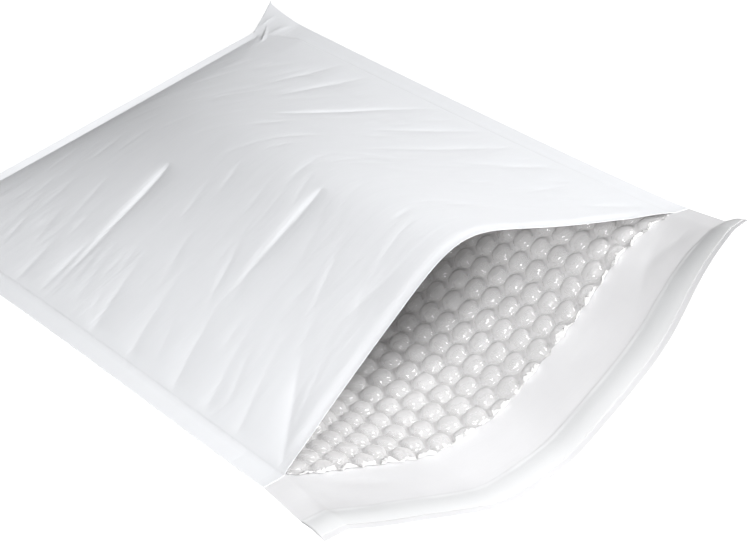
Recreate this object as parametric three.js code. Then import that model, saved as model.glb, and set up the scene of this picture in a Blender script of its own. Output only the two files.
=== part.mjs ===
// A padded envelope (bubble mailer) lying on its back with its mouth open, in millimetres.
// +X runs across the mouth, +Y runs from the mouth to the closed end, +Z is up.
// Two paper sheets are sealed along three sides, each lined with bubble film. The back sheet
// goes on past the mouth as the closing flap, with a glue strip under a peel-off strip.
import * as THREE from 'three';

// Flat sizes of the mailer.
const POCKET_WIDTH = 220;
const SEAM_WIDTH = 10;
const LENGTH = 350;
const FLAP_DEPTH = 49;

// Thicknesses, with the clearance left between touching layers.
const PAPER_THICKNESS = 0.6;
const LINER_THICKNESS = 3.2;
const SEALED_LINER_THICKNESS = 0.4;
const STRIP_THICKNESS = 0.3;
const CLEARANCE = 0.3;

// The closing strip on the flap, measured out from the mouth line.
const STRIP_START = 31;
const STRIP_END = 46;
const ADHESIVE_INSET = 2;

// Shape of the opened mouth: slopes of the sheets, going from the left seam to the right seam.
const BACK_SLOPES = [-20, -29, -22, 21, 26, 30, -19];
const FRONT_LEFT_SLOPES = [9, 27];
const FRONT_RIGHT_SLOPES = [-36, -14];
const RIDGE_PLACE = 0.09;
const RIDGE_SOFTNESS = 0.15;
const FRONT_SETBACK = 17;
const SETTLE = 3;

// How the open shape fades to the flat closed end.
const WIDTH_FADE = { start: 2.3, end: 0.5 };
const HEIGHT_FADE = { start: 0.8, end: 0.7 };
const BULGE_FADE = { start: 2.3, end: 1 };
const SEAM_LIFT = 3.5;
const SEAM_LIFT_REACH = 24;
const PILLOW_REACH = 30;
const END_PULL = 15;
const END_PULL_POWER = 8;
const SHORTENING = 0.99;

// How the flap rises and spreads, in degrees, from its left corner to its right corner.
const FLAP_RISE = [7, 4, 5, 7, 23];
const FLAP_SPREAD = [-4, 1, -1, 4, -7];

const WHITE_PAPER = { color: 0xf1f1ef, roughness: 0.72, metalness: 0 };
const CLEAR_FILM = { color: 0xdcdcd9, roughness: 0.35, metalness: 0 };
const GLUE = { color: 0xe6e2cf, roughness: 0.4, metalness: 0 };
const RELEASE_PAPER = { color: 0xe4e5e4, roughness: 0.45, metalness: 0 };

const HALF_WIDTH = POCKET_WIDTH / 2;
const SEAM_SHARE = SEAM_WIDTH / HALF_WIDTH;
const SEAM_STACK = 2 * PAPER_THICKNESS + CLEARANCE;
const EDGE_STACK = 2 * (PAPER_THICKNESS + SEALED_LINER_THICKNESS) + 3 * CLEARANCE;
const POCKET_STACK = 2 * (PAPER_THICKNESS + LINER_THICKNESS) + 3 * CLEARANCE;
const POCKET_LENGTH = LENGTH - SEAM_WIDTH;
const PROFILE_STEPS = 120;

const radians = THREE.MathUtils.degToRad;
const clamp = THREE.MathUtils.clamp;
const lerp = THREE.MathUtils.lerp;

// A smooth curve through evenly spaced values, read at a share of its length.
function alongValues(values, share) {
  const last = values.length - 1;
  const place = clamp(share, 0, 1) * last;
  const index = Math.min(Math.floor(place), last - 1);
  const t = place - index;
  const before = index > 0 ? values[index - 1] : 2 * values[0] - values[1];
  const after = index + 2 <= last ? values[index + 2] : 2 * values[last] - values[last - 1];
  const a = values[index];
  const b = values[index + 1];
  const slopeA = (b - before) / 2;
  const slopeB = (after - a) / 2;
  const t2 = t * t;
  const t3 = t2 * t;
  return a * (2 * t3 - 3 * t2 + 1) + slopeA * (t3 - 2 * t2 + t) + b * (3 * t2 - 2 * t3) + slopeB * (t3 - t2);
}

// Slopes of the two sheets across the mouth. The place runs from -1 at the left seam to 1.
function backSlope(place) {
  return radians(alongValues(BACK_SLOPES, (place + 1) / 2));
}

function frontSlope(place) {
  const left = lerp(...FRONT_LEFT_SLOPES, clamp((place + 1) / (RIDGE_PLACE + 1), 0, 1));
  const right = lerp(...FRONT_RIGHT_SLOPES, clamp((place - RIDGE_PLACE) / (1 - RIDGE_PLACE), 0, 1));
  const turn = 0.5 + 0.5 * Math.tanh((place - RIDGE_PLACE) / RIDGE_SOFTNESS);
  return radians(lerp(left, right, turn));
}

// Follows a slope across the sheet, so that the profile keeps the sheet's flat width.
function traceProfile(slope) {
  const points = [{ x: 0, z: 0 }];
  const step = POCKET_WIDTH / PROFILE_STEPS;
  for (let i = 1; i <= PROFILE_STEPS; i += 1) {
    const angle = slope(((i - 0.5) / PROFILE_STEPS) * 2 - 1);
    const last = points[i - 1];
    points.push({ x: last.x + step * Math.cos(angle), z: last.z + step * Math.sin(angle) });
  }
  return points;
}

const BACK_PROFILE = traceProfile(backSlope);
const FRONT_PROFILE = traceProfile(frontSlope);
const LOWEST = Math.min(...BACK_PROFILE.map((point) => point.z));
const BACK_END = BACK_PROFILE[PROFILE_STEPS];
const FRONT_END = FRONT_PROFILE[PROFILE_STEPS];

function readProfile(profile, place) {
  const at = clamp((place + 1) / 2, 0, 1) * PROFILE_STEPS;
  const index = Math.min(Math.floor(at), PROFILE_STEPS - 1);
  const a = profile[index];
  const b = profile[index + 1];
  return { x: lerp(a.x, b.x, at - index), z: lerp(a.z, b.z, at - index) };
}

function fade(share, shape) {
  return (1 - Math.min(share, 1) ** shape.start) ** shape.end;
}

// The mouth's back profile, centred, with its lowest stretch at height 0.
function backMouth(place) {
  const point = readProfile(BACK_PROFILE, place);
  return { x: point.x - BACK_END.x / 2, z: point.z - LOWEST };
}

// The mouth's front profile, stretched a little so that both its ends meet the back's.
function frontMouth(place) {
  const point = readProfile(FRONT_PROFILE, place);
  const share = (place + 1) / 2;
  return {
    x: point.x + share * (BACK_END.x - FRONT_END.x) - BACK_END.x / 2,
    z: point.z + share * (BACK_END.z - FRONT_END.z) - LOWEST,
  };
}

const LEFT_SEAM_SLOPE = (backSlope(-1) + frontSlope(-1)) / 2;
const RIGHT_SEAM_SLOPE = (backSlope(1) + frontSlope(1)) / 2;

// How far a point is from the nearest sealed line, measured on the flat sheet.
function sealDistance(place, s) {
  const side = (1 - Math.min(Math.abs(place), 1)) * HALF_WIDTH;
  return Math.min(side, Math.max(POCKET_LENGTH - s, 0));
}

// The sheet's y for a distance s from the mouth: the closed end is pulled in between its corners.
function alongY(place, s) {
  const outer = place / (1 + SEAM_SHARE);
  const pull = END_PULL * (1 - Math.abs(outer) ** END_PULL_POWER);
  return s * SHORTENING - pull * Math.max(s / LENGTH, 0) ** 6;
}

// The back sheet's height before its edges are lifted: its lowest stretch settles on the floor.
function restHeight(place, s) {
  const high = fade(Math.max(s, 0) / LENGTH, HEIGHT_FADE);
  return Math.max(backMouth(place).z * high - SETTLE, 0);
}

function seamLift(place, s) {
  const near = 1 - Math.min(sealDistance(place, s), SEAM_LIFT_REACH) / SEAM_LIFT_REACH;
  return SEAM_LIFT * near * near;
}

// The outer face of the back sheet.
function backPoint(place, s) {
  const inside = clamp(place, -1, 1);
  const beyond = (Math.abs(place) - Math.abs(inside)) * HALF_WIDTH * Math.sign(place);
  const share = Math.max(s, 0) / LENGTH;
  const wide = fade(share, WIDTH_FADE);
  const high = fade(share, HEIGHT_FADE);
  const seamSlope = high * (place < 0 ? LEFT_SEAM_SLOPE : RIGHT_SEAM_SLOPE);
  const x = lerp(inside * HALF_WIDTH, backMouth(inside).x, wide) + beyond * Math.cos(seamSlope);
  const z = restHeight(inside, s) + seamLift(place, s) + beyond * Math.sin(seamSlope);
  return new THREE.Vector3(x, alongY(place, s), Math.max(z, 0));
}

// The outer face of the front sheet: it bulges from seam to seam, highest at the mouth, and is
// never closer to the back sheet than the layers between them need.
function frontPoint(place, s) {
  const back = backPoint(place, s);
  const beyond = (Math.abs(place) - 1) / SEAM_SHARE;
  const pastEnd = (s - POCKET_LENGTH) / SEAM_WIDTH;
  const sealed = Math.max(beyond, pastEnd, 0);
  if (sealed > 0) {
    back.z += lerp(EDGE_STACK, SEAM_STACK, Math.min(sealed, 1));
    return back;
  }
  const across = (place + 1) / 2;
  const chord = lerp(backMouth(-1).z, backMouth(1).z, across);
  const bulge = (frontMouth(place).z - chord) * fade(s / POCKET_LENGTH, BULGE_FADE);
  const free = lerp(restHeight(-1, s), restHeight(1, s), across) + bulge;
  const near = 1 - Math.min(sealDistance(place, s), PILLOW_REACH) / PILLOW_REACH;
  const stack = lerp(POCKET_STACK, EDGE_STACK, near * near);
  const wide = fade(s / LENGTH, WIDTH_FADE);
  back.x = lerp(place * HALF_WIDTH, frontMouth(place).x, wide);
  back.y += FRONT_SETBACK * (1 - place * place) * (1 - s / POCKET_LENGTH);
  back.z = Math.max(free, restHeight(place, s)) + seamLift(place, s) + stack;
  return back;
}

// The flap: the back sheet going on past the mouth, each line of it straight.
function flapPoint(place, out) {
  const share = (place / (1 + SEAM_SHARE) + 1) / 2;
  const rise = radians(alongValues(FLAP_RISE, share));
  const spread = radians(alongValues(FLAP_SPREAD, share));
  const direction = new THREE.Vector3(
    Math.sin(spread) * Math.cos(rise),
    -Math.cos(spread) * Math.cos(rise),
    Math.sin(rise),
  );
  return backPoint(place, 0).addScaledVector(direction, out);
}

// The back sheet's outer face with its flap, for s from the flap's free edge to the closed end.
function backFace(place, s) {
  return s < 0 ? flapPoint(place, -s) : backPoint(place, s);
}

// The way through the layers: from back to front in the pocket, straight up at the flap's edge.
function throughLayers(place, s) {
  const across = frontPoint(place, Math.max(s, 0)).sub(backPoint(place, Math.max(s, 0))).normalize();
  const flapShare = Math.max(-s, 0) / FLAP_DEPTH;
  return across.lerp(new THREE.Vector3(0, 0, 1), flapShare).normalize();
}

function aboveBack(height) {
  return (place, s) => backFace(place, s).addScaledVector(throughLayers(place, s), height(place, s));
}

function belowFront(depth) {
  return (place, s) => frontPoint(place, s).addScaledVector(throughLayers(place, s), -depth(place, s));
}

// The liner's thickness, pressed thin where it runs into the seals.
function linerThickness(place, s) {
  const near = 1 - Math.min(sealDistance(place, s), PILLOW_REACH) / PILLOW_REACH;
  return lerp(LINER_THICKNESS, SEALED_LINER_THICKNESS, near * near);
}

// One closed solid between a lower and an upper face, over a grid of places and distances.
function sheetSolid(lowerFace, upperFace, places, distances) {
  const positions = [];
  const triangles = [];
  const columns = places.length;
  const rows = distances.length;
  for (const face of [lowerFace, upperFace]) {
    for (const s of distances) {
      for (const place of places) {
        positions.push(...face(place, s).toArray());
      }
    }
  }
  const upperStart = columns * rows;
  const quad = (a, b, c, d) => triangles.push(a, b, c, a, c, d);
  for (let row = 0; row + 1 < rows; row += 1) {
    for (let column = 0; column + 1 < columns; column += 1) {
      const a = row * columns + column;
      const b = a + 1;
      const c = b + columns;
      const d = a + columns;
      quad(a, d, c, b);
      quad(upperStart + a, upperStart + b, upperStart + c, upperStart + d);
    }
  }
  const wall = (a, b) => quad(a, b, b + upperStart, a + upperStart);
  const lastRow = (rows - 1) * columns;
  for (let column = 0; column + 1 < columns; column += 1) {
    wall(column, column + 1);
    wall(lastRow + column + 1, lastRow + column);
  }
  for (let row = 0; row + 1 < rows; row += 1) {
    wall((row + 1) * columns, row * columns);
    wall(row * columns + columns - 1, (row + 1) * columns + columns - 1);
  }
  const geometry = new THREE.BufferGeometry();
  geometry.setAttribute('position', new THREE.Float32BufferAttribute(positions, 3));
  geometry.setIndex(triangles);
  geometry.computeVertexNormals();
  return geometry;
}

// Grid lines: close together at the seals, where the layers taper, and at the mouth's ridge.
const HALF_PLACES = [0.12, 0.25, 0.4, 0.55, 0.68, 0.79, 0.87, 0.93, 0.97];
const POCKET_PLACES = [-1, ...HALF_PLACES.map((place) => -place).reverse(), 0, ...HALF_PLACES, 1];
const SHEET_PLACES = [-1 - SEAM_SHARE, ...POCKET_PLACES, 1 + SEAM_SHARE];
const POCKET_DISTANCES = [0, 16, 36, 60, 90, 120, 150, 180, 210, 240, 270, 292, 310, 322, 332, POCKET_LENGTH];
const STRIP_DISTANCES = [-STRIP_END, -STRIP_START];
const FLAP_DISTANCES = [-FLAP_DEPTH, ...STRIP_DISTANCES, -STRIP_START / 2];
const FRONT_DISTANCES = [...POCKET_DISTANCES, LENGTH];
const BACK_DISTANCES = [...FLAP_DISTANCES, ...FRONT_DISTANCES];

const always = (value) => () => value;
const LINER_START = PAPER_THICKNESS + CLEARANCE;
const ADHESIVE_BASE = PAPER_THICKNESS + CLEARANCE;
const ADHESIVE_TOP = ADHESIVE_BASE + STRIP_THICKNESS;
const RELEASE_BASE = ADHESIVE_TOP + CLEARANCE;
const RELEASE_TOP = RELEASE_BASE + STRIP_THICKNESS;

function makePiece(name, geometry, finish) {
  const mesh = new THREE.Mesh(geometry, new THREE.MeshStandardMaterial(finish));
  mesh.name = name;
  return mesh;
}

function makeBackPaper() {
  const inner = aboveBack(always(PAPER_THICKNESS));
  return makePiece('back_paper', sheetSolid(backFace, inner, SHEET_PLACES, BACK_DISTANCES), WHITE_PAPER);
}

function makeFrontPaper() {
  const inner = belowFront(always(PAPER_THICKNESS));
  return makePiece('front_paper', sheetSolid(inner, frontPoint, SHEET_PLACES, FRONT_DISTANCES), WHITE_PAPER);
}

function makeBackLiner() {
  const lower = aboveBack(always(LINER_START));
  const upper = aboveBack((place, s) => LINER_START + linerThickness(place, s));
  const solid = sheetSolid(lower, upper, POCKET_PLACES, POCKET_DISTANCES);
  return makePiece('back_bubble_liner', solid, CLEAR_FILM);
}

function makeFrontLiner() {
  const lower = belowFront((place, s) => LINER_START + linerThickness(place, s));
  const upper = belowFront(always(LINER_START));
  const solid = sheetSolid(lower, upper, POCKET_PLACES, POCKET_DISTANCES);
  return makePiece('front_bubble_liner', solid, CLEAR_FILM);
}

// A flat strip across the flap, between two heights above the flap's outer face.
function makeStrip(name, base, top, inset, finish) {
  const distances = [-STRIP_END + inset, -STRIP_START - inset];
  const geometry = sheetSolid(aboveBack(always(base)), aboveBack(always(top)), SHEET_PLACES, distances);
  return makePiece(name, geometry, finish);
}

const envelope = new THREE.Group();
envelope.name = 'padded_envelope';
envelope.add(makeBackPaper());
envelope.add(makeBackLiner());
envelope.add(makeFrontLiner());
envelope.add(makeFrontPaper());
envelope.add(makeStrip('adhesive_strip', ADHESIVE_BASE, ADHESIVE_TOP, ADHESIVE_INSET, GLUE));
envelope.add(makeStrip('release_strip', RELEASE_BASE, RELEASE_TOP, 0, RELEASE_PAPER));

// The origin is on the resting plane, under the middle of the mailer's box.
const extent = new THREE.Box3().setFromObject(envelope);
const middle = extent.getCenter(new THREE.Vector3());
for (const piece of envelope.children) {
  piece.position.set(-middle.x, -middle.y, 0);
}

export default envelope;
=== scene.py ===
"""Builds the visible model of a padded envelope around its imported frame.

The mailer lies on its back with its mouth open towards -Y. Every sheet is first laid out flat:
"place" runs across it from -1 at the left seal to 1 at the right seal, and "s" is the distance
from the mouth line towards the closed end. The shape functions then bend the flat sheet.
"""

import math

import bmesh
import bpy
import numpy as np
from bpy.props import FloatProperty, FloatVectorProperty, IntProperty, PointerProperty
from mathutils import Matrix, Vector


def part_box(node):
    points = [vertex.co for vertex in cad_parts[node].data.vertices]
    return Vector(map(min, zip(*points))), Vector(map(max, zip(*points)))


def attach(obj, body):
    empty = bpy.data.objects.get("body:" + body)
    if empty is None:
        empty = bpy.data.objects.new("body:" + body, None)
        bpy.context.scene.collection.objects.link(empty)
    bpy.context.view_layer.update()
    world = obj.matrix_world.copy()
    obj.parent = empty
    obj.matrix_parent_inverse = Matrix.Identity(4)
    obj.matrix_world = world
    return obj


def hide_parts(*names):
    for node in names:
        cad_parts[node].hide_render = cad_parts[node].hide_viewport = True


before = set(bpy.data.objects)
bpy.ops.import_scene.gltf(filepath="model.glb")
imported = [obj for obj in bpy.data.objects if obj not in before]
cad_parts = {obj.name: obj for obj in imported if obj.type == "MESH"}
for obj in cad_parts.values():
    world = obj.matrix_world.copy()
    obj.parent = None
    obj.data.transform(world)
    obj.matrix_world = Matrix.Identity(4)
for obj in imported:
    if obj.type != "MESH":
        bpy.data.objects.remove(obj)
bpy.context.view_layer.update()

bl_info = {
    "name": "Padded Envelope",
    "version": (1, 0, 0),
    "blender": (4, 5, 0),
    "location": "View3D > Sidebar > Mailer",
    "description": "Builds a padded envelope lined with bubble film, with its mouth open",
    "category": "Add Mesh",
}

MM = 0.001
BODY = "root"


# ---------------------------------------------------------------------------------------------
# Sizes, colours and the view, as a user would change them
# ---------------------------------------------------------------------------------------------

def length_prop(name, default, description):
    return FloatProperty(
        name=name, description=description, default=default, min=0.0, unit="LENGTH", precision=4
    )


def colour_prop(name, default, description):
    return FloatVectorProperty(
        name=name, description=description, default=default, size=3, min=0.0, max=1.0, subtype="COLOR"
    )


def angle_prop(name, degrees, description):
    return FloatProperty(
        name=name, description=description, default=math.radians(degrees), subtype="ANGLE"
    )


class MailerSheets(bpy.types.PropertyGroup):
    pocket_width: length_prop("Pocket width", 0.220, "Flat width of the pocket between its side seals")
    seam_width: length_prop("Seam width", 0.010, "Width of the sealed strip along three sides")
    length: length_prop("Length", 0.350, "Flat length from the mouth to the closed end")
    flap_depth: length_prop("Flap depth", 0.049, "How far the flap goes on past the mouth")
    paper: length_prop("Paper thickness", 0.0002, "Thickness of a paper sheet")
    seam_gap: length_prop("Seam gap", 0.0005, "Height of the front sheet over the back in the seams")


class MailerBubbles(bpy.types.PropertyGroup):
    pitch: length_prop("Pitch", 0.0116, "Distance from one bubble to the next")
    diameter: length_prop("Diameter", 0.0103, "Diameter of a bubble at the film")
    height: length_prop("Height", 0.0029, "Height of a bubble over the film")
    film: length_prop("Film thickness", 0.0002, "Thickness of the flat film between the bubbles")
    turn: angle_prop("Turn", 1.7, "How far the rows of bubbles run out of true with the sheet")
    seed: IntProperty(name="Seed", description="Seed of the small differences between bubbles", default=7)


class MailerStrip(bpy.types.PropertyGroup):
    start: length_prop("Start", 0.031, "Distance of the strip's inner edge from the mouth line")
    end: length_prop("End", 0.046, "Distance of the strip's outer edge from the mouth line")
    glue_inset: length_prop("Glue inset", 0.002, "How far the glue stays inside the strip")
    lift: length_prop("Lift", 0.0003, "How far the strip's inner edge lifts off the flap")


class MailerColours(bpy.types.PropertyGroup):
    paper: colour_prop("Paper", (0.85, 0.865, 0.89), "White kraft paper")
    film: colour_prop("Bubble film", (0.80, 0.795, 0.79), "Milky bubble film")
    release: colour_prop("Release strip", (0.80, 0.81, 0.82), "Siliconised peel-off strip")
    glue: colour_prop("Glue", (0.80, 0.76, 0.62), "Pressure-sensitive glue")
    inside: colour_prop("Paper inside", (0.735, 0.74, 0.755), "Inner face of the back sheet")
    floor: colour_prop("Floor", (0.40, 0.40, 0.40), "Studio floor")


class MailerView(bpy.types.PropertyGroup):
    azimuth: angle_prop("Azimuth", -27.5, "Direction of the camera, from straight in front of the mouth")
    elevation: angle_prop("Elevation", 36.8, "Height of the camera over the floor")
    roll: angle_prop("Roll", -14.4, "How far the camera is rolled about its own line of sight")
    distance: length_prop("Distance", 1.042, "Distance from the camera to what it looks at")
    focal: FloatProperty(name="Focal length", description="Lens, on a 36 mm sensor", default=115.0)


# ---------------------------------------------------------------------------------------------
# The bent shape
# ---------------------------------------------------------------------------------------------

# Slopes of the sheets across the mouth, in degrees, from the left seal to the right seal.
BACK_SLOPES = (-20, -29, -22, 21, 26, 30, -19)
FRONT_LEFT_SLOPES = (9, 27)
FRONT_RIGHT_SLOPES = (-36, -14)
RIDGE_PLACE = 0.09
RIDGE_SOFTNESS = 0.15
FRONT_SETBACK = 0.017
SETTLE = 0.003
SETTLE_SOFTNESS = 0.003

# How the open shape fades to the flat closed end: powers of the share of the length.
WIDTH_FADE = (2.3, 0.5)
HEIGHT_FADE = (0.8, 0.7)
BULGE_FADE = (2.3, 1.0)
SEAM_LIFT = 0.0035
SEAM_LIFT_REACH = 0.024
PILLOW_REACH = 0.030
PILLOW_HEIGHT = 0.0065
PILLOW_POWER = 2.4
SEAL_HEIGHT = 0.0012
SEAL_DROP = 0.003
END_PULL = 0.015
END_RISE = 0.0011
SHORTENING = 0.99
LIP_DROOP = 0.0007
LIP_WIDTH = 0.008

# The pocket's far corners are cut off by a fold, and the flat corner past it stands up a little.
CORNER_FOLD_ACROSS = 0.098
CORNER_FOLD_SLANT = (0.96, 0.28)
CORNER_LIFT = 0.0032
CORNER_REACH = 0.034

# How the flap rises and spreads, in degrees, from its left corner to its right corner.
FLAP_RISE = (7, 4, 5, 7, 23)
FLAP_SPREAD = (-4, 1, -1, 4, -7)

# The flap dips towards the closing strip's inner edge, by more at its right corner, bends up
# there, and curls down again to its free edge.
FLAP_DIP = (0.0006, 0.0006, 0.0008, 0.0014, 0.0026)
CURL_START = 0.031
CURL_HEIGHT = 0.0008

PROFILE_STEPS = 2000


def along_values(values, share):
    """A smooth curve through evenly spaced values, read at a share of its length."""
    padded = np.array([2 * values[0] - values[1], *values, 2 * values[-1] - values[-2]], float)
    last = len(values) - 1
    at = np.clip(share, 0, 1) * last
    index = np.minimum(np.floor(at).astype(int), last - 1)
    t = at - index
    before, a, b, after = (padded[index + i] for i in range(4))
    slope_a, slope_b = (b - before) / 2, (after - a) / 2
    rise = 3 * t ** 2 - 2 * t ** 3
    return a * (1 - rise) + b * rise + slope_a * (t ** 3 - 2 * t ** 2 + t) + slope_b * (t ** 3 - t ** 2)


def mix(a, b, share):
    return a + (b - a) * share


def fade(share, powers):
    start, end = powers
    return (1 - np.clip(share, 0, 1) ** start) ** end


def smooth_step(low, high, value):
    t = np.clip((value - low) / (high - low), 0, 1)
    return t * t * (3 - 2 * t)


def settled(height):
    """A height let down by SETTLE, with a soft bend where it comes to rest on the floor."""
    lowest = (math.hypot(SETTLE, SETTLE_SOFTNESS) - SETTLE) / 2
    height = height - SETTLE
    return (height + np.sqrt(height ** 2 + SETTLE_SOFTNESS ** 2)) / 2 - lowest


def unit(vectors):
    return vectors / np.maximum(np.linalg.norm(vectors, axis=-1, keepdims=True), 1e-12)


class MailerShape:
    """Bends the flat sheets of the mailer. All its places are in metres."""

    def __init__(self, sheets):
        self.half = sheets.pocket_width / 2
        self.seam = sheets.seam_width
        self.seam_share = self.seam / self.half
        self.length = sheets.length
        self.pocket_length = self.length - self.seam
        self.seam_gap = sheets.seam_gap
        self.flap_depth = sheets.flap_depth
        self.places = np.linspace(-1, 1, PROFILE_STEPS + 1)
        back_x, back_z = self.trace(self.back_slope)
        front_x, front_z = self.trace(self.front_slope)
        share = (self.places + 1) / 2
        lowest, centre = back_z.min(), back_x[-1] / 2
        self.front_x = front_x + share * (back_x[-1] - front_x[-1]) - centre
        self.front_z = front_z + share * (back_z[-1] - front_z[-1]) - lowest
        self.back_x, self.back_z = back_x - centre, back_z - lowest
        self.left_slope = (self.back_slope(-1.0) + self.front_slope(-1.0)) / 2
        self.right_slope = (self.back_slope(1.0) + self.front_slope(1.0)) / 2

    def back_slope(self, place):
        return np.radians(along_values(BACK_SLOPES, (np.asarray(place) + 1) / 2))

    def front_slope(self, place):
        left = mix(*FRONT_LEFT_SLOPES, np.clip((place + 1) / (RIDGE_PLACE + 1), 0, 1))
        right = mix(*FRONT_RIGHT_SLOPES, np.clip((place - RIDGE_PLACE) / (1 - RIDGE_PLACE), 0, 1))
        turn = 0.5 + 0.5 * np.tanh((place - RIDGE_PLACE) / RIDGE_SOFTNESS)
        return np.radians(mix(left, right, turn))

    def trace(self, slope):
        middles = (self.places[1:] + self.places[:-1]) / 2
        angles = slope(middles)
        step = 2 * self.half / PROFILE_STEPS
        x = np.concatenate([[0], np.cumsum(step * np.cos(angles))])
        z = np.concatenate([[0], np.cumsum(step * np.sin(angles))])
        return x, z

    def depth_in_pocket(self, place, s):
        """How far a point lies inside the sealed lines of the flat sheet, or outside if negative."""
        across = np.abs(place) * self.half
        to_end = self.pocket_length - s
        slant_x, slant_s = CORNER_FOLD_SLANT
        corner = (CORNER_FOLD_ACROSS - across) * slant_x + to_end * slant_s
        return np.minimum(np.minimum(self.half - across, to_end), corner)

    def seal_distance(self, place, s):
        return np.maximum(self.depth_in_pocket(place, s), 0)

    def along_y(self, place, s):
        past_fold = np.maximum(np.abs(place) * self.half - CORNER_FOLD_ACROSS, 0)
        pull = END_PULL * (1 - past_fold / (self.half + self.seam - CORNER_FOLD_ACROSS))
        return s * SHORTENING - pull * np.maximum(s / self.length, 0) ** 6

    def corner_lift(self, place, s):
        across = np.maximum(np.abs(place) * self.half - CORNER_FOLD_ACROSS, 0)
        near_end = 1 - np.clip((self.length - s) / CORNER_REACH, 0, 1)
        return CORNER_LIFT * near_end * across / (self.half + self.seam - CORNER_FOLD_ACROSS)

    def fades(self, s):
        share = np.maximum(s, 0) / self.length
        return fade(share, WIDTH_FADE), fade(share, HEIGHT_FADE)

    def seam_lift(self, place, s):
        near = 1 - np.minimum(self.seal_distance(place, s), SEAM_LIFT_REACH) / SEAM_LIFT_REACH
        return SEAM_LIFT * near ** 2 + self.corner_lift(place, s)

    def back(self, place, s):
        """The outer face of the back sheet, in the pocket and its seams."""
        place, s = np.asarray(place, float), np.asarray(s, float)
        inside = np.clip(place, -1, 1)
        beyond = (place - inside) * self.half
        wide, high = self.fades(s)
        slope = high * np.where(place < 0, self.left_slope, self.right_slope)
        x = mix(inside * self.half, np.interp(inside, self.places, self.back_x), wide)
        x = x + beyond * np.cos(slope)
        open_height = np.interp(inside, self.places, self.back_z) * high
        z = settled(open_height) + self.seam_lift(place, s) + beyond * np.sin(slope)
        past_end = np.clip((s - self.pocket_length) / self.seam, 0, 1)
        z = z + END_RISE * past_end * (1 - inside ** 8)
        return np.stack([x, self.along_y(place, s), np.maximum(z, 0)], -1)

    def front(self, place, s):
        """The outer face of the front sheet, which bulges over a slope between its two seals."""
        place, s = np.asarray(place, float), np.asarray(s, float)
        inside = np.clip(place, -1, 1)
        wide, high = self.fades(s)
        share = (inside + 1) / 2
        chord = mix(self.back_z[0], self.back_z[-1], share)
        between_seals = mix(settled(self.back_z[0] * high), settled(self.back_z[-1] * high), share)
        pocket_share = np.maximum(s, 0) / self.pocket_length
        bulge = (np.interp(inside, self.places, self.front_z) - chord) * fade(pocket_share, BULGE_FADE)
        depth = self.depth_in_pocket(place, s)
        near = 1 - np.clip(depth / PILLOW_REACH, 0, 1)
        pillow = mix(PILLOW_HEIGHT, SEAL_HEIGHT, near ** PILLOW_POWER)
        x = mix(inside * self.half, np.interp(inside, self.places, self.front_x), wide)
        setback = FRONT_SETBACK * (1 - inside ** 2) * (1 - np.minimum(pocket_share, 1))
        z = between_seals + bulge + pillow + self.seam_lift(place, s)
        pocket = np.stack([x, self.along_y(place, s) + setback, z], -1)
        seam = self.back(place, s)
        seam[..., 2] += self.seam_gap
        return mix(pocket, seam, smooth_step(0, SEAL_DROP, -depth)[..., None])

    def back_with_flap(self, place, s):
        """The outer face of the back sheet, with the flap where s is below 0."""
        place, s = np.asarray(place, float), np.asarray(s, float)
        share = (place / (1 + self.seam_share) + 1) / 2
        rise = np.radians(along_values(FLAP_RISE, share))
        spread = np.radians(along_values(FLAP_SPREAD, share))
        out = np.maximum(-s, 0)[..., None]
        way = np.stack([np.sin(spread) * np.cos(rise), -np.cos(spread) * np.cos(rise), np.sin(rise)], -1)
        return self.back(place, np.maximum(s, 0)) + way * out


def frame_offset(shape):
    """Where the shape's own origin, the middle of the mouth line, lies in the frame."""
    low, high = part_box("back_paper")
    edge = 1 + shape.seam_share
    left, right = shape.back(np.array([-edge, edge]), np.array([shape.length, shape.length]))
    return np.array([(low.x + high.x) / 2 - (right[0] + left[0]) / 2, high.y - right[1], 0.0])


# ---------------------------------------------------------------------------------------------
# Creases
# ---------------------------------------------------------------------------------------------

class Crease:
    """A sharp valley in a flat sheet, in millimetres: from one point to another, each given as the
    distance across from the sheet's middle line and the distance from the mouth line. Its two
    sides rise over their own reach, the mouth's side and the closed end's side, and the valley
    gets narrower and shallower towards both ends. A blunt start keeps it deep near its start."""

    def __init__(self, start, end, depth, mouth_reach, end_reach, blunt=0.0):
        self.start = np.array(start, float) * MM
        self.end = np.array(end, float) * MM
        self.depth = depth * MM
        self.reaches = (mouth_reach * MM, end_reach * MM)
        self.blunt = blunt

    def height(self, x, s):
        run = self.end - self.start
        length = np.hypot(*run)
        t = ((x - self.start[0]) * run[0] + (s - self.start[1]) * run[1]) / length ** 2
        off = ((s - self.start[1]) * run[0] - (x - self.start[0]) * run[1]) / length
        off = off * math.copysign(1, run[0])
        t = np.clip(t, 0, 1) ** (1 - self.blunt)
        window = np.sin(math.pi * t) ** 2
        reach = np.where(off < 0, *self.reaches) * (0.35 + 0.65 * window)
        return -self.depth * window * np.exp(-np.abs(off) / reach)


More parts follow.
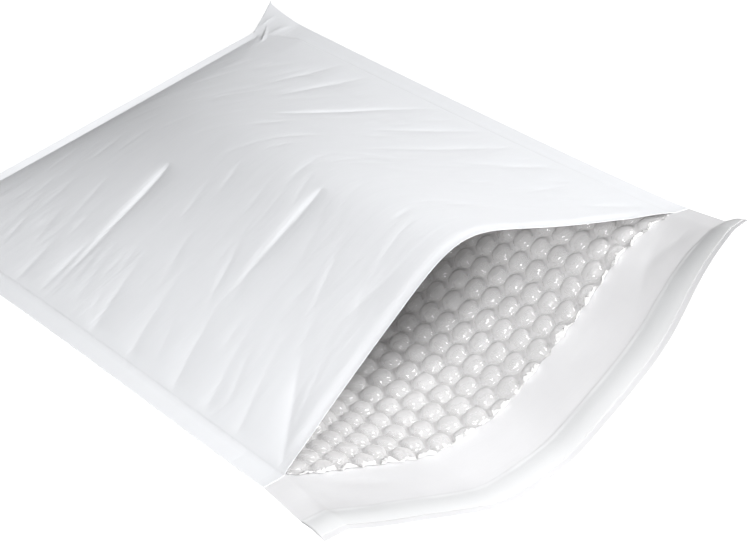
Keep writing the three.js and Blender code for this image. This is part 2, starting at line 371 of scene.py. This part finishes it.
# The large creases of the front sheet, as it has been filled, bent and emptied.
FRONT_CREASES = (
    Crease((-19, 216), (-128, 203), 1.5, 9, 3, blunt=0.65),
    Crease((-66, 215), (-112, 212), 0.8, 6, 4),
    Crease((36, 213), (120, 160), 0.9, 4, 1.8, blunt=0.3),
    Crease((1, 99), (-80, 102), 1.2, 9, 3, blunt=0.6),
    Crease((-10, 17), (-50, 28), 0.5, 8, 6),
    Crease((-114, 160), (-44, 178), 0.7, 9, 6, blunt=0.65),
    Crease((-116, 127), (-46, 144), 0.6, 9, 6, blunt=0.65),
    Crease((-114, 89), (-40, 110), 0.6, 9, 6, blunt=0.65),
    Crease((-113, 63), (-42, 80), 0.5, 9, 6, blunt=0.65),
    Crease((-114, 37), (-50, 56), 0.5, 9, 6, blunt=0.65),
    Crease((-115, 232), (-56, 242), 0.5, 7, 6, blunt=0.65),
    Crease((-120, -4), (-62, 38), 1.1, 9, 7),
    Crease((58, 263), (116, 249), 0.5, 4, 3),
    Crease((50, 241), (116, 224), 0.6, 5, 3),
    Crease((58, 162), (116, 123), 0.6, 5, 3),
    Crease((48, 129), (115, 99), 0.5, 6, 4),
    Crease((66, 99), (115, 64), 0.4, 6, 4),
    Crease((80, 25), (114, 7), 0.3, 5, 3),
)

# Ridges pinched into the flat corner at the right end of the closed end.
CORNER_RIDGES = (
    Crease((95, 329), (110, 341), -0.9, 1.8, 1.2, blunt=0.3),
    Crease((101, 348), (118, 336), -0.4, 1.5, 1.5),
    Crease((99, 336), (119, 318), -0.4, 2.0, 1.5),
)

# The flap's creases run out from the ends of the mouth.
FLAP_CREASES = (
    Crease((-111, -2), (-84, -34), 0.8, 6, 4),
    Crease((-112, -4), (-106, -40), 0.7, 5, 4),
    Crease((-108, -1), (-60, -20), 0.6, 6, 5),
    Crease((70, -8), (112, -26), 0.5, 6, 5),
    Crease((108, -3), (62, -24), 0.6, 5, 4),
    Crease((104, -2), (92, -32), 0.5, 5, 4),
    Crease((20, -4), (58, -28), 0.3, 7, 5),
)


def scattered_creases(seed, count, half_width, length):
    """Small handling creases that run across a sheet, densest beside the seals."""
    random = np.random.default_rng(seed)
    creases = []
    for _ in range(count):
        side = random.choice((-1, 1))
        across = side * half_width * (1 - random.random() ** 1.6 * 0.9)
        s = random.uniform(0.02, 0.97) * length
        run = random.uniform(14, 46)
        slant = random.normal(0.22, 0.16) * run
        end = (across - side * run, s + (slant if side < 0 else slant * 1.6))
        depth = 0.04 + 0.24 * random.random() ** 2
        creases.append(Crease((across, s), end, depth, random.uniform(2, 5), random.uniform(1.5, 3)))
    return creases


def crease_height(creases, x, s):
    total = np.zeros_like(x)
    for crease in creases:
        total += crease.height(x, s)
    return total


def front_relief(shape, place, s):
    """Height of the front sheet's creases and of its drooping lip over its smooth shape."""
    creases = (*FRONT_CREASES, *scattered_creases(seed=12, count=230, half_width=109, length=350))
    from_seal = shape.seal_distance(place, s)
    lip = LIP_DROOP * (1 - smooth_step(0, LIP_WIDTH, s)) * smooth_step(0.002, 0.02, from_seal)
    x = place * shape.half
    ridges = crease_height(CORNER_RIDGES, x, s)
    return crease_height(creases, x, s) * smooth_step(0.0, 0.006, from_seal) + ridges - lip


def flap_relief(shape, place, s):
    """Height of the flap's creases, bend and curled free edge over its smooth shape."""
    out = np.maximum(-s, 0)
    rest = shape.flap_depth - CURL_START
    curl = CURL_HEIGHT * np.sin(math.pi * np.clip((out - CURL_START) / rest, 0, 1))
    dip = along_values(FLAP_DIP, (place / (1 + shape.seam_share) + 1) / 2)
    dip = dip * np.minimum(out / CURL_START, (shape.flap_depth - out) / rest)
    return crease_height(FLAP_CREASES, place * shape.half, s) + curl - dip


def no_relief(shape, place, s):
    return np.zeros_like(place)


# ---------------------------------------------------------------------------------------------
# Meshes
# ---------------------------------------------------------------------------------------------

def grid_normals(points):
    """Unit normals of a grid of points, rows along s and columns across."""
    across = np.gradient(points, axis=1)
    along = np.gradient(points, axis=0)
    return unit(np.cross(across, along))


def grid_faces(rows, columns, start=0, flip=False):
    index = start + np.arange(rows * columns).reshape(rows, columns)
    a, b = index[:-1, :-1], index[:-1, 1:]
    c, d = index[1:, 1:], index[1:, :-1]
    order = (a, d, c, b) if flip else (a, b, c, d)
    return np.stack(order, -1).reshape(-1, 4)


def border(rows, columns, start=0):
    index = start + np.arange(rows * columns).reshape(rows, columns)
    return np.concatenate([index[0, :-1], index[:-1, -1], index[-1, :0:-1], index[:0:-1, 0]]).tolist()


def rim_faces(rows, columns, flip=False):
    """The wall between a fine grid's border and that of a grid with half as many lines."""
    fine = border(rows, columns)
    coarse = border((rows + 1) // 2, (columns + 1) // 2, start=rows * columns)
    faces = []
    for i, near in enumerate(coarse):
        after = coarse[(i + 1) % len(coarse)]
        a, b, c = fine[2 * i], fine[2 * i + 1], fine[(2 * i + 2) % len(fine)]
        face = (a, near, after, c, b)
        faces.append(face[::-1] if flip else face)
    return faces


def make_mesh(name, points, faces):
    mesh = bpy.data.meshes.new(name)
    mesh.from_pydata(points.reshape(-1, 3).tolist(), [], faces)
    mesh.validate()
    mesh.update()
    return mesh


def add_piece(name, mesh, material, node, sharp_angle=50):
    """Links a mesh as a piece that rides on the mailer's body and stands for a frame node."""
    old = bpy.data.objects.get(name)
    if old is not None:
        bpy.data.objects.remove(old)
    piece = bpy.data.objects.new(name, mesh)
    bpy.context.scene.collection.objects.link(piece)
    mesh.materials.append(material)
    mesh.shade_smooth()
    mesh.set_sharp_from_angle(angle=math.radians(sharp_angle))
    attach(piece, BODY)
    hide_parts(node)
    return piece


def sheet_mesh(name, surface, places, distances, thickness, height=None, upwards=True):
    """A closed thin sheet over a grid. The surface gives its outer face, and height bends it.
    The inner face takes every second line of the grid, so both counts of lines must be odd."""
    place, s = np.meshgrid(places, distances)
    outer = surface(place, s)
    side = 1 if upwards else -1
    if height is not None:
        outer = outer + grid_normals(outer) * height(place, s)[..., None]
    inner = (outer - side * grid_normals(outer) * thickness)[::2, ::2]
    rows, columns = place.shape
    points = np.concatenate([outer.reshape(-1, 3), inner.reshape(-1, 3)])
    faces = grid_faces(rows, columns, flip=not upwards).tolist()
    faces += grid_faces(*inner.shape[:2], start=rows * columns, flip=upwards).tolist()
    return make_mesh(name, points, faces + rim_faces(rows, columns, flip=not upwards))


def stations(*stretches):
    """Grid lines through stretches of (start, end, step), each line once, in an odd number."""
    values = []
    for start, end, step in stretches:
        count = 2 * max(int(round((end - start) / step / 2)), 1)
        values.extend(np.linspace(start, end, count + 1)[:-1])
    values.append(stretches[-1][1])
    return np.array(values)


# ---------------------------------------------------------------------------------------------
# Materials
# ---------------------------------------------------------------------------------------------

SHINE_THROUGH = 0.14
SHINE_THROUGH_TINT = (1.0, 0.94, 0.91)


def new_group(name, inputs, outputs):
    group = bpy.data.node_groups.new(name, "ShaderNodeTree")
    for socket, kind, default in inputs:
        item = group.interface.new_socket(socket, in_out="INPUT", socket_type=kind)
        item.default_value = default
    for socket, kind in outputs:
        group.interface.new_socket(socket, in_out="OUTPUT", socket_type=kind)
    entry = group.nodes.new("NodeGroupInput")
    leave = group.nodes.new("NodeGroupOutput")
    return group, entry, leave


def add_node(tree, kind, **settings):
    node = tree.nodes.new(kind)
    for name, value in settings.items():
        if name in node.inputs:
            node.inputs[name].default_value = value
        else:
            setattr(node, name, value)
    return node


def scaled(tree, vector, scale):
    node = add_node(tree, "ShaderNodeVectorMath", operation="MULTIPLY")
    node.inputs[1].default_value = scale
    tree.links.new(vector, node.inputs[0])
    return node.outputs["Vector"]


def map_value(tree, value, low, high):
    node = add_node(tree, "ShaderNodeMapRange")
    node.inputs["To Min"].default_value = low
    node.inputs["To Max"].default_value = high
    tree.links.new(value, node.inputs["Value"])
    return node.outputs["Result"]


def paper_fibre_group():
    """Fine fibre relief and faint clouding of a paper sheet."""
    name = "Paper fibre"
    if name in bpy.data.node_groups:
        return bpy.data.node_groups[name]
    group, entry, leave = new_group(
        name,
        [("Colour", "NodeSocketColor", (0.9, 0.9, 0.9, 1.0)), ("Clouding", "NodeSocketFloat", 0.03)],
        [("Colour", "NodeSocketColor"), ("Relief", "NodeSocketFloat"), ("Roughness", "NodeSocketFloat")],
    )
    place = add_node(group, "ShaderNodeTexCoord").outputs["Object"]
    fibres = add_node(group, "ShaderNodeTexNoise", Scale=1.0, Detail=5.0, Roughness=0.6)
    group.links.new(scaled(group, place, (900, 2600, 1700)), fibres.inputs["Vector"])
    clouds = add_node(group, "ShaderNodeTexNoise", Scale=45.0, Detail=4.0, Roughness=0.55)
    group.links.new(place, clouds.inputs["Vector"])
    crumple = add_node(
        group, "ShaderNodeTexNoise", Scale=1.0, Detail=3.0, Roughness=0.6, Distortion=0.6
    )
    group.links.new(scaled(group, place, (28, 190, 90)), crumple.inputs["Vector"])
    darker = add_node(group, "ShaderNodeMath", operation="MULTIPLY")
    group.links.new(clouds.outputs["Fac"], darker.inputs[0])
    group.links.new(entry.outputs["Clouding"], darker.inputs[1])
    keep = add_node(group, "ShaderNodeMath", operation="SUBTRACT")
    keep.inputs[0].default_value = 1.0
    group.links.new(darker.outputs[0], keep.inputs[1])
    tone = add_node(group, "ShaderNodeVectorMath", operation="SCALE")
    group.links.new(entry.outputs["Colour"], tone.inputs[0])
    group.links.new(keep.outputs[0], tone.inputs["Scale"])
    relief = add_node(group, "ShaderNodeMath", operation="MULTIPLY_ADD")
    relief.inputs[1].default_value = 0.12
    group.links.new(fibres.outputs["Fac"], relief.inputs[0])
    group.links.new(crumple.outputs["Fac"], relief.inputs[2])
    group.links.new(tone.outputs["Vector"], leave.inputs["Colour"])
    group.links.new(relief.outputs[0], leave.inputs["Relief"])
    group.links.new(map_value(group, fibres.outputs["Fac"], 0.5, 0.72), leave.inputs["Roughness"])
    return group


def start_material(name):
    material = bpy.data.materials.new(name)
    material.use_nodes = True
    shader = material.node_tree.nodes["Principled BSDF"]
    return material, material.node_tree, shader


def let_light_through(tree, shader):
    """Mixes in a share of the light that shines through a thin sheet from behind it."""
    through = add_node(tree, "ShaderNodeBsdfTranslucent", Color=(*SHINE_THROUGH_TINT, 1.0))
    mixed = add_node(tree, "ShaderNodeMixShader")
    mixed.inputs["Fac"].default_value = SHINE_THROUGH
    tree.links.new(shader.outputs["BSDF"], mixed.inputs[1])
    tree.links.new(through.outputs["BSDF"], mixed.inputs[2])
    tree.links.new(mixed.outputs["Shader"], tree.nodes["Material Output"].inputs["Surface"])


def paper_material(name, colour, clouding, relief, specular):
    material, tree, shader = start_material(name)
    let_light_through(tree, shader)
    fibre = add_node(tree, "ShaderNodeGroup", node_tree=paper_fibre_group())
    fibre.inputs["Colour"].default_value = (*colour, 1.0)
    fibre.inputs["Clouding"].default_value = clouding
    bump = add_node(tree, "ShaderNodeBump", Strength=1.0, Distance=relief)
    tree.links.new(fibre.outputs["Relief"], bump.inputs["Height"])
    tree.links.new(fibre.outputs["Colour"], shader.inputs["Base Color"])
    tree.links.new(fibre.outputs["Roughness"], shader.inputs["Roughness"])
    tree.links.new(bump.outputs["Normal"], shader.inputs["Normal"])
    shader.inputs["Specular IOR Level"].default_value = specular
    return material


def film_material(name, colour, veil):
    """Milky polythene film with a glossy skin that is not quite even. The veil is how much it
    hides when seen straight on and at a grazing angle."""
    material, tree, shader = start_material(name)
    place = add_node(tree, "ShaderNodeTexCoord").outputs["Object"]
    haze = add_node(tree, "ShaderNodeTexNoise", Scale=160.0, Detail=3.0, Roughness=0.6)
    tree.links.new(place, haze.inputs["Vector"])
    puckers = add_node(tree, "ShaderNodeTexNoise", Scale=520.0, Detail=4.0, Roughness=0.6)
    tree.links.new(place, puckers.inputs["Vector"])
    bump = add_node(tree, "ShaderNodeBump", Strength=0.25, Distance=0.0004)
    tree.links.new(puckers.outputs["Fac"], bump.inputs["Height"])
    tone = add_node(tree, "ShaderNodeMix", data_type="RGBA")
    tone.inputs["A"].default_value = (*colour, 1.0)
    tone.inputs["B"].default_value = (*(0.93 * part for part in colour), 1.0)
    tree.links.new(haze.outputs["Fac"], tone.inputs["Factor"])
    tree.links.new(tone.outputs["Result"], shader.inputs["Base Color"])
    tree.links.new(map_value(tree, haze.outputs["Fac"], 0.05, 0.15), shader.inputs["Roughness"])
    tree.links.new(bump.outputs["Normal"], shader.inputs["Normal"])
    shader.inputs["IOR"].default_value = 1.55
    shader.inputs["Specular IOR Level"].default_value = 1.0
    grazing = add_node(tree, "ShaderNodeLayerWeight", Blend=0.35)
    tree.links.new(map_value(tree, grazing.outputs["Facing"], *veil), shader.inputs["Alpha"])
    return material


def glue_material(colour):
    material, tree, shader = start_material("Glue")
    place = add_node(tree, "ShaderNodeTexCoord").outputs["Object"]
    spread = add_node(tree, "ShaderNodeTexNoise", Scale=700.0, Detail=3.0)
    tree.links.new(place, spread.inputs["Vector"])
    bump = add_node(tree, "ShaderNodeBump", Strength=0.4, Distance=0.0002)
    tree.links.new(spread.outputs["Fac"], bump.inputs["Height"])
    tree.links.new(bump.outputs["Normal"], shader.inputs["Normal"])
    tree.links.new(map_value(tree, spread.outputs["Fac"], 0.2, 0.45), shader.inputs["Roughness"])
    shader.inputs["Base Color"].default_value = (*colour, 1.0)
    return material


def floor_material(colour, glow):
    material, _, shader = start_material("Studio floor")
    shader.inputs["Base Color"].default_value = (*colour, 1.0)
    shader.inputs["Roughness"].default_value = 0.9
    shader.inputs["Specular IOR Level"].default_value = 0.1
    shader.inputs["Emission Color"].default_value = (1.0, 1.0, 1.0, 1.0)
    shader.inputs["Emission Strength"].default_value = glow
    return material


def white_paper():
    found = bpy.data.materials.get("White kraft paper")
    if found is not None:
        return found
    colour = tuple(bpy.context.scene.mailer_colours.paper)
    return paper_material("White kraft paper", colour, clouding=0.03, relief=0.00019, specular=0.35)


# ---------------------------------------------------------------------------------------------
# Bubble film
# ---------------------------------------------------------------------------------------------

# A cell's outline has 18 points, three to a side. A bubble's rings are shares of its radius and
# of its height. The film within the cut band of the mouth line shows as cut edge.
CELL_SIDES = 18
CUT_BAND = 0.0012
FILM_GAP = 0.0006
BUBBLE_RINGS = ((0.38, 0.965), (0.66, 0.85), (0.86, 0.60), (0.96, 0.32), (1.0, 0.05))


def hexagon_point(step, pitch):
    """A point on a cell's edge. Three steps make one side of the hexagon."""
    side, part = divmod(step, 3)
    inner = pitch / 2
    outer = inner / math.cos(math.pi / 6)
    a = math.radians(60 * side - 30)
    b = math.radians(60 * side + 30)
    start = Vector((outer * math.cos(a), outer * math.sin(a)))
    end = Vector((outer * math.cos(b), outer * math.sin(b)))
    return start.lerp(end, part / 3)


def bubble_cell(pitch, radius, height, lean, film):
    """Points and faces of one bubble and the film up to the edge of its six-sided cell."""
    points = [(lean[0], lean[1], film + height)]
    edges = [hexagon_point(step, pitch) for step in range(CELL_SIDES)]
    for share, rise in BUBBLE_RINGS:
        for edge in edges:
            way = edge.normalized()
            points.append((
                way.x * radius * share + lean[0] * (1 - share),
                way.y * radius * share + lean[1] * (1 - share),
                film + height * rise,
            ))
    points.extend((edge.x, edge.y, film) for edge in edges)
    points.extend((edge.x, edge.y, 0.0) for edge in edges)
    points.append((0.0, 0.0, 0.0))
    faces = []
    rings = len(BUBBLE_RINGS) + 1
    for step in range(CELL_SIDES):
        after = (step + 1) % CELL_SIDES
        faces.append((0, 1 + step, 1 + after))
        for ring in range(rings - 1):
            a, b = 1 + ring * CELL_SIDES, 1 + (ring + 1) * CELL_SIDES
            faces.append((a + step, b + step, b + after, a + after))
        under = 1 + rings * CELL_SIDES
        faces.append((under + after, under + step, under + CELL_SIDES))
    return points, faces


def lay_out_cells(bubbles, width, length, seed):
    """Points and faces of staggered rows of cells that cover a sheet, each bubble a bit different."""
    random = np.random.default_rng(seed)
    pitch, radius = bubbles.pitch, bubbles.diameter / 2
    row_step = pitch * math.sqrt(3) / 2
    turn = Matrix.Rotation(bubbles.turn, 2)
    points, faces = [], []
    reach_x, reach_s = width / 2 + pitch, length + pitch
    columns = int(reach_x / row_step) + 1
    rows = int(reach_s / pitch) + 2
    for column in range(-columns, columns + 1):
        for row in range(-3, rows):
            shift = 0.5 * (column % 2)
            x, s = turn @ Vector((column * row_step, (row + shift) * pitch))
            if abs(x) > reach_x or not -pitch < s < reach_s:
                continue
            own_radius = radius * random.uniform(0.965, 1.0)
            own_height = bubbles.height * random.uniform(0.88, 1.06)
            lean = random.normal(0, 0.00035, 2)
            cell_points, cell_faces = bubble_cell(pitch, own_radius, own_height, lean, bubbles.film)
            base = len(points)
            # A cell's flat sides face along its own x, so its x and y change places here.
            for along, across, z in cell_points:
                moved = turn @ Vector((across, along))
                points.append((x + moved.x, s + moved.y, z))
            faces.extend(tuple(base + i for i in face) for face in cell_faces)
    return points, faces


def flat_bubble_film(bubbles, width, length, seed):
    """Bubble film laid out flat and cut out through its bubbles, with its far corners cut off."""
    points, faces = lay_out_cells(bubbles, width, length, seed)
    mesh = bpy.data.meshes.new("flat film")
    mesh.from_pydata(points, [], faces)
    film = bmesh.new()
    film.from_mesh(mesh)
    bpy.data.meshes.remove(mesh)
    bmesh.ops.remove_doubles(film, verts=film.verts, dist=bubbles.pitch * 0.002)
    slant_x, slant_s = CORNER_FOLD_SLANT
    cuts = (
        ((-width / 2, 0, 0), (-1, 0, 0)),
        ((width / 2, 0, 0), (1, 0, 0)),
        ((0, 0, 0), (0, -1, 0)),
        ((0, length, 0), (0, 1, 0)),
        ((CORNER_FOLD_ACROSS, length, 0), (slant_x, slant_s, 0)),
        ((-CORNER_FOLD_ACROSS, length, 0), (-slant_x, slant_s, 0)),
    )
    for point, normal in cuts:
        geometry = film.verts[:] + film.edges[:] + film.faces[:]
        bmesh.ops.bisect_plane(
            film, geom=geometry, plane_co=point, plane_no=normal, clear_outer=True
        )
    close_cut_edges(film, bubbles.film)
    bmesh.ops.recalc_face_normals(film, faces=film.faces)
    return film


def close_cut_edges(film, film_thickness):
    """Walls from the cut upper film down to the film's back, so that the cut film is closed."""
    low = film_thickness * 0.5
    upper = [e for e in film.edges if e.is_boundary and max(v.co.z for v in e.verts) > low]
    result = bmesh.ops.extrude_edge_only(film, edges=upper)
    for item in result["geom"]:
        if isinstance(item, bmesh.types.BMVert):
            item.co.z = 0.0
    bmesh.ops.remove_doubles(film, verts=film.verts, dist=1e-6)


def mesh_arrays(film):
    film.verts.ensure_lookup_table()
    points = np.array([v.co[:] for v in film.verts])
    faces = [[v.index for v in face.verts] for face in film.faces]
    return points, faces


def ragged_edge(points, seed, depth):
    """Draws the film's cut edge at the mouth in and out, and flattens the bubbles cut there."""
    random = np.random.default_rng(seed)
    x, s = points[:, 0], points[:, 1]
    wave = np.zeros_like(x)
    for length in (0.0095, 0.0052, 0.0031):
        wave += np.sin(x * 2 * math.pi / length + random.uniform(0, 6)) * length
    near = 1 - smooth_step(0, depth * 1.6, s)
    torn = (1 - smooth_step(0.001, 0.0035, s))[:, None] * (points[:, 2:] > 0)
    moved = points + torn * random.normal(0, (0.00016, 0.00026, 0.00026), points.shape)
    moved[:, 1] += near * wave * 0.05
    crush = 1 - 0.5 * (1 - smooth_step(0, depth, s)) * (0.7 + 0.3 * np.sin(x * 900 + 2.0))
    moved[:, 2] = np.maximum(moved[:, 2] * crush, 0)
    return moved


# ---------------------------------------------------------------------------------------------
# Operators
# ---------------------------------------------------------------------------------------------

def current_shape():
    shape = MailerShape(bpy.context.scene.mailer_sheets)
    return shape, frame_offset(shape)


def seam_places(shape, step):
    """Grid lines across a sheet with its seams, closer together beside the seals."""
    edge = 1 + shape.seam_share
    fine = 0.35 * step
    in_seam = fine * 1.6
    return stations(
        (-edge, -1, in_seam), (-1, -0.97, fine), (-0.97, 0.97, step), (0.97, 1, fine), (1, edge, in_seam)
    )


class MAILER_OT_back_paper(bpy.types.Operator):
    """Adds the back sheet with its flap"""

    bl_idname = "mailer.back_paper"
    bl_label = "Back sheet and flap"

    def execute(self, context):
        sheets = context.scene.mailer_sheets
        shape, offset = current_shape()
        small = scattered_creases(seed=31, count=40, half_width=108, length=350)

        def height(place, s):
            flap = flap_relief(shape, place, s)
            pocket = crease_height(small, place * shape.half, s) * -0.5
            fading = smooth_step(0, 0.02, s) * smooth_step(0.001, 0.006, shape.seal_distance(place, s))
            return flap * (1 - smooth_step(0, 0.012, s)) + pocket * fading

        places = seam_places(shape, 0.020)
        distances = stations(
            (-sheets.flap_depth, 0, 0.0009), (0, 0.33, 0.0025), (0.33, sheets.length, 0.0012)
        )
        mesh = sheet_mesh(
            "back_sheet", lambda p, s: shape.back_with_flap(p, s) + offset,
            places, distances, sheets.paper, height, upwards=False,
        )
        add_piece("back_sheet", mesh, white_paper(), "back_paper")
        colour = tuple(context.scene.mailer_colours.inside)
        inside = paper_material("Paper inside", colour, clouding=0.09, relief=0.00014, specular=0.3)
        mesh.materials.append(inside)
        # The inner face's polygons follow the outer face's, and there are a quarter as many.
        outer_faces = (len(distances) - 1) * (len(places) - 1)
        for face in mesh.polygons[outer_faces:outer_faces + outer_faces // 4]:
            face.material_index = 1
        return {"FINISHED"}


class MAILER_OT_front_paper(bpy.types.Operator):
    """Adds the front sheet with its creases"""

    bl_idname = "mailer.front_paper"
    bl_label = "Front sheet"

    def execute(self, context):
        sheets = context.scene.mailer_sheets
        shape, offset = current_shape()
        places = seam_places(shape, 0.0105)
        distances = stations((0, 0.33, 0.0011), (0.33, sheets.length, 0.0008))
        mesh = sheet_mesh(
            "front_sheet", lambda p, s: shape.front(p, s) + offset,
            places, distances, sheets.paper, lambda p, s: front_relief(shape, p, s),
        )
        add_piece("front_sheet", mesh, white_paper(), "front_paper")
        return {"FINISHED"}


class MAILER_OT_bubble_liners(bpy.types.Operator):
    """Adds the two bubble films that line the pocket"""

    bl_idname = "mailer.bubble_liners"
    bl_label = "Bubble liners"

    def execute(self, context):
        scene = context.scene
        bubbles = scene.mailer_bubbles
        shape, offset = current_shape()
        colour = tuple(scene.mailer_colours.film)
        film_look = film_material("Bubble film", colour, veil=(0.30, 0.50))
        cut_look = film_material("Cut film edge", colour, veil=(0.80, 0.95))
        width, length = 2 * shape.half - 0.003, shape.pocket_length - 0.002
        sides = (
            ("back_bubble_film", "back_bubble_liner", shape.back, no_relief, 1, 0.0),
            ("front_bubble_film", "front_bubble_liner", shape.front, front_relief, -1, 0.009),
        )
        for extra, (name, node, surface, relief, side, start) in enumerate(sides):
            film = flat_bubble_film(bubbles, width, length - start, bubbles.seed + extra)
            points, faces = mesh_arrays(film)
            film.free()
            points = ragged_edge(points, bubbles.seed + extra, 0.006)
            place, s = points[:, 0] / shape.half, points[:, 1] + start
            at = surface(place, s)
            step = 0.0005
            across = surface(place + step / shape.half, s) - surface(place - step / shape.half, s)
            along = surface(place, s + step) - surface(place, s - step)
            normal = unit(np.cross(across, along)) * side
            room = smooth_step(-0.004, 0.020, shape.seal_distance(place, s))
            rise = FILM_GAP + points[:, 2] * room + side * relief(shape, place, s)
            bent = at + normal * rise[:, None] + offset
            mesh = bpy.data.meshes.new(name)
            if side < 0:
                faces = [face[::-1] for face in faces]
            mesh.from_pydata(bent.tolist(), [], faces)
            mesh.update()
            add_piece(name, mesh, film_look, node, sharp_angle=75)
            mesh.materials.append(cut_look)
            for face in mesh.polygons:
                face.material_index = int(max(points[list(face.vertices), 1]) < CUT_BAND)
        return {"FINISHED"}


BAND_THICKNESS = 0.0001


class MAILER_OT_closing_strip(bpy.types.Operator):
    """Adds the glue band on the flap and the peel-off strip over it"""

    bl_idname = "mailer.closing_strip"
    bl_label = "Closing strip"

    def execute(self, context):
        scene = context.scene
        strip = scene.mailer_strip
        paper = scene.mailer_sheets.paper
        shape, offset = current_shape()
        edge = 1 + shape.seam_share

        def band(name, height, places, distances):
            def surface(place, s):
                ground = shape.back_with_flap(place, s)
                above = height(place, s) + flap_relief(shape, place, s)
                return ground + grid_normals(ground) * above[..., None] + offset
            return sheet_mesh(name, surface, places, distances, BAND_THICKNESS)

        def glue_height(place, s):
            return np.full(place.shape, paper + 0.00015)

        def strip_height(place, s):
            inner = smooth_step(0.0024, 0, -s - strip.start)
            ripple = 0.5 + 0.5 * np.sin(place * 23 + 1.1) * np.sin(place * 9.0)
            return paper + 0.0003 + strip.lift * inner * (0.4 + 0.6 * ripple)

        glue_places = np.linspace(-edge + 0.012, edge - 0.012, 151)
        strip_places = np.linspace(-edge + 0.003, edge - 0.003, 261)
        glue_rows = stations((-strip.end + strip.glue_inset, -strip.start - strip.glue_inset, 0.001))
        curl = -strip.start - 0.004
        strip_rows = stations((-strip.end, curl, 0.001), (curl, -strip.start, 0.0004))
        glue_mesh = band("glue_band", glue_height, glue_places, glue_rows)
        strip_mesh = band("peel_off_strip", strip_height, strip_places, strip_rows)
        glue = glue_material(tuple(scene.mailer_colours.glue))
        colour = tuple(scene.mailer_colours.release)
        release = paper_material("Release paper", colour, clouding=0.02, relief=0.00008, specular=0.5)
        add_piece("glue_band", glue_mesh, glue, "adhesive_strip")
        add_piece("peel_off_strip", strip_mesh, release, "release_strip")
        return {"FINISHED"}


def aim(thing, place, target, roll=0.0):
    """Puts a camera or a light at a place, looking at a target."""
    look = (Vector(target) - Vector(place)).to_track_quat("-Z", "Y").to_matrix().to_4x4()
    thing.matrix_world = Matrix.Translation(place) @ look @ Matrix.Rotation(roll, 4, "Z")


class MAILER_OT_stage(bpy.types.Operator):
    """Adds the floor, the lights and the camera"""

    bl_idname = "mailer.stage"
    bl_label = "Studio"

    def execute(self, context):
        scene = context.scene
        self.add_camera(scene)
        self.add_floor(scene)
        self.add_lights(scene)
        scene.view_settings.view_transform = "Standard"
        scene.view_settings.look = "None"
        return {"FINISHED"}

    def add_camera(self, scene):
        view = scene.mailer_view
        _, offset = current_shape()
        target = Vector((0.0076, 0.0933, 0.020)) + Vector(offset)
        back = Vector((
            math.sin(view.azimuth) * math.cos(view.elevation),
            -math.cos(view.azimuth) * math.cos(view.elevation),
            math.sin(view.elevation),
        ))
        camera = bpy.data.objects.new("Camera", bpy.data.cameras.new("Camera"))
        camera.data.sensor_width = 36.0
        camera.data.lens = view.focal
        camera.data.clip_end = 20.0
        scene.collection.objects.link(camera)
        aim(camera, target + back * view.distance, target, view.roll)
        scene.camera = camera

    def add_floor(self, scene):
        mesh = bpy.data.meshes.new("floor")
        disc = bmesh.new()
        bmesh.ops.create_circle(disc, cap_ends=True, segments=96, radius=6.0)
        disc.to_mesh(mesh)
        disc.free()
        floor = bpy.data.objects.new("floor", mesh)
        scene.collection.objects.link(floor)
        floor.location.z = -0.0004
        mesh.materials.append(floor_material(tuple(scene.mailer_colours.floor), glow=0.78))

    def add_lights(self, scene):
        world = bpy.data.worlds.new("Studio")
        world.use_nodes = True
        sky = world.node_tree.nodes["Background"]
        sky.inputs["Color"].default_value = (1.0, 1.0, 1.0, 1.0)
        sky.inputs["Strength"].default_value = 0.12
        scene.world = world
        # Name, place, target, diameter, watts, and whether it lights surfaces or only glints on them.
        lights = (
            ("Left softbox", (-0.98, -1.02, 0.91), (0.0, 0.05, 0.02), 0.7, 27.0, True),
            ("Right softbox", (1.05, -0.88, 0.96), (0.0, 0.05, 0.02), 0.7, 31.5, True),
            ("Glint lamp", (-0.55, -0.95, 1.75), (0.0, -0.10, 0.02), 0.08, 34.0, False),
        )
        for name, place, target, size, power, lights_surfaces in lights:
            lamp = bpy.data.lights.new(name, "AREA")
            lamp.shape = "DISK"
            lamp.size = size
            lamp.energy = power
            light = bpy.data.objects.new(name, lamp)
            scene.collection.objects.link(light)
            aim(light, place, target)
            light.visible_diffuse = lights_surfaces


STEPS = (
    MAILER_OT_stage,
    MAILER_OT_back_paper,
    MAILER_OT_front_paper,
    MAILER_OT_bubble_liners,
    MAILER_OT_closing_strip,
)


class VIEW3D_PT_mailer(bpy.types.Panel):
    """Lists the mailer's pieces in the sidebar"""

    bl_label = "Padded envelope"
    bl_idname = "VIEW3D_PT_mailer"
    bl_space_type = "VIEW_3D"
    bl_region_type = "UI"
    bl_category = "Mailer"

    def draw(self, context):
        scene = context.scene
        for step in STEPS:
            self.layout.operator(step.bl_idname)
        for name in SETTINGS:
            box = self.layout.box()
            group = getattr(scene, name)
            for key in type(group).__annotations__:
                box.prop(group, key)


SETTINGS = {
    "mailer_sheets": MailerSheets,
    "mailer_bubbles": MailerBubbles,
    "mailer_strip": MailerStrip,
    "mailer_colours": MailerColours,
    "mailer_view": MailerView,
}
CLASSES = (*SETTINGS.values(), *STEPS, VIEW3D_PT_mailer)


def register():
    for cls in CLASSES:
        bpy.utils.register_class(cls)
    for name, group in SETTINGS.items():
        setattr(bpy.types.Scene, name, PointerProperty(type=group))


def unregister():
    for name in SETTINGS:
        delattr(bpy.types.Scene, name)
    for cls in reversed(CLASSES):
        bpy.utils.unregister_class(cls)


def main():
    register()
    bpy.ops.mailer.stage()
    bpy.ops.mailer.back_paper()
    bpy.ops.mailer.front_paper()
    bpy.ops.mailer.bubble_liners()
    bpy.ops.mailer.closing_strip()


if __name__ == "__main__":
    main()
